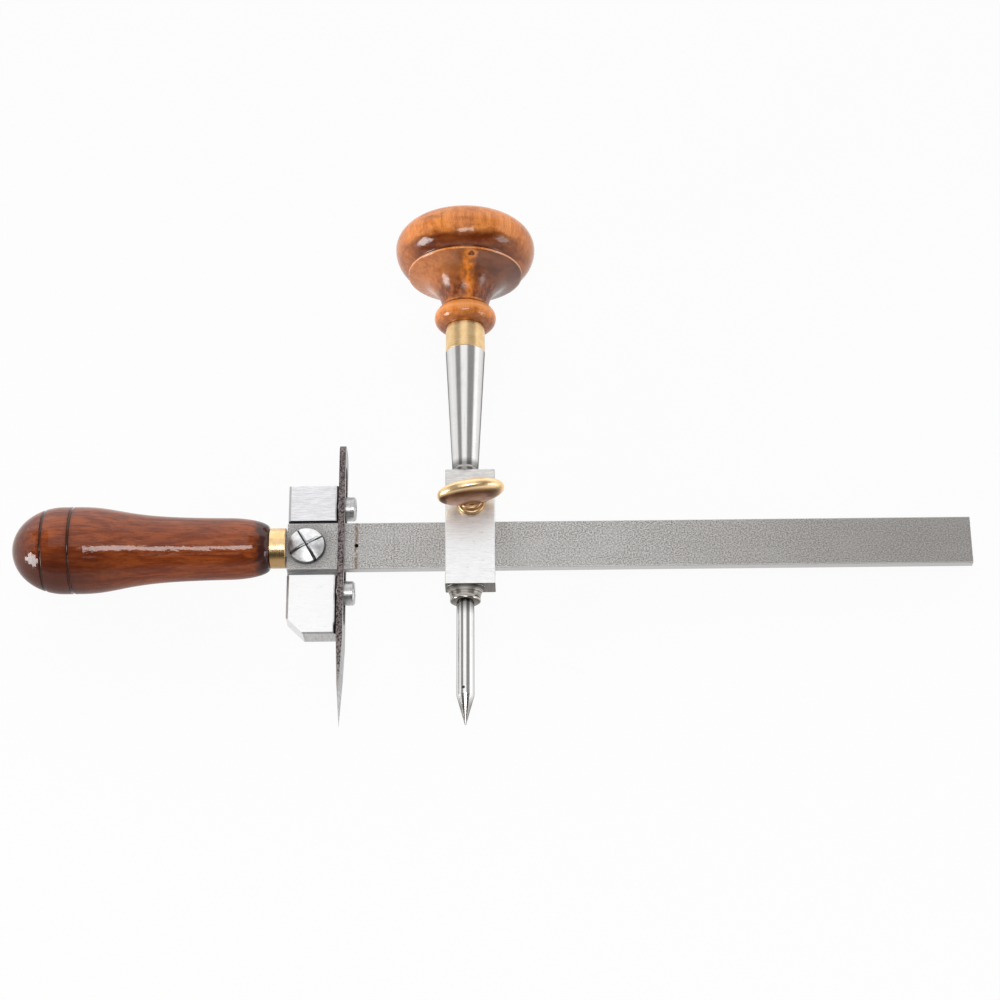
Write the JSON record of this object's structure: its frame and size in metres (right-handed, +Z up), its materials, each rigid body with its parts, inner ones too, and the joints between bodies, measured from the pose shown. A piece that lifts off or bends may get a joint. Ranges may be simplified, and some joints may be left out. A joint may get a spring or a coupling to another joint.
{
  "type": "circle cutter",
  "caption": "Hand circle cutter for leather: a flat beam with a turned handle and slotted blade, and a sliding head with palm knob, thumb screw and centre pin.",
  "frame": {"origin": "on the bench, under the middle of the bounding box, with the tool lying on its back: it rests on the rim of the palm knob, the back edge of the blade and the far end of the beam", "axes": "+X along the beam from the handle to the free end, +Y from the centre pin's point to the palm knob, +Z up from the bench, out of the beam's front face"},
  "size_m": [0.3833, 0.221, 0.0581],
  "materials": {
    "beam_steel": "mill-finish flat steel, faintly mottled",
    "handle_wood": "dark red-brown stain under gloss lacquer",
    "brass": "turned and cast brass, lightly polished",
    "holder_metal": "bright, finely scratched steel",
    "plated_steel": "bright plated",
    "blade_steel": "dark hardened steel with a ground point",
    "screw_steel": "plain turned steel",
    "head_steel": "bright, cross-filed steel",
    "polished_steel": "turned and polished steel",
    "knob_wood": "honey-brown stain under gloss lacquer"
  },
  "bodies": {
    "beam": {"beam_bar": "beam_steel", "handle_grip": "handle_wood", "handle_ferrule": "brass", "blade_holder": "holder_metal", "holder_screw": "plated_steel", "blade_screw_upper": "screw_steel", "blade_screw_lower": "screw_steel"},
    "blade": {"blade": "blade_steel"},
    "head": {"head_block": "head_steel", "spindle": "polished_steel", "knob_ferrule": "brass", "palm_knob": "knob_wood", "centre_pin": "polished_steel"},
    "clamp": {"clamp_plate": "head_steel"},
    "thumb": {"thumb_screw": "brass"}
  },
  "joints": [
    {"name": "head_slide", "type": "slide", "parent": "beam", "child": "head", "axis": [0.9988, 0, -0.0488], "range_m": [-0.0355, 0.186]},
    {"name": "blade_height", "type": "slide", "parent": "beam", "child": "blade", "axis": [0.0058, 0.993, 0.1184], "range_m": [-0.0125, 0.009]},
    {"name": "thumb_screw_turn", "type": "hinge", "parent": "head", "child": "thumb", "pos_m": [-0.00725, -0.0195, 0.01987], "axis": [0.0485, -0.1185, 0.9918], "range_deg": [0, 360]},
    {"name": "clamp_release", "type": "slide", "parent": "head", "child": "clamp", "axis": [-0.0485, 0.1185, -0.9918], "range_m": [0, 0.001]}
  ],
  "couplings": [
    {"joint": "thumb_screw_turn", "follows": "clamp_release", "rad_per_m": 6283.2}
  ]
}
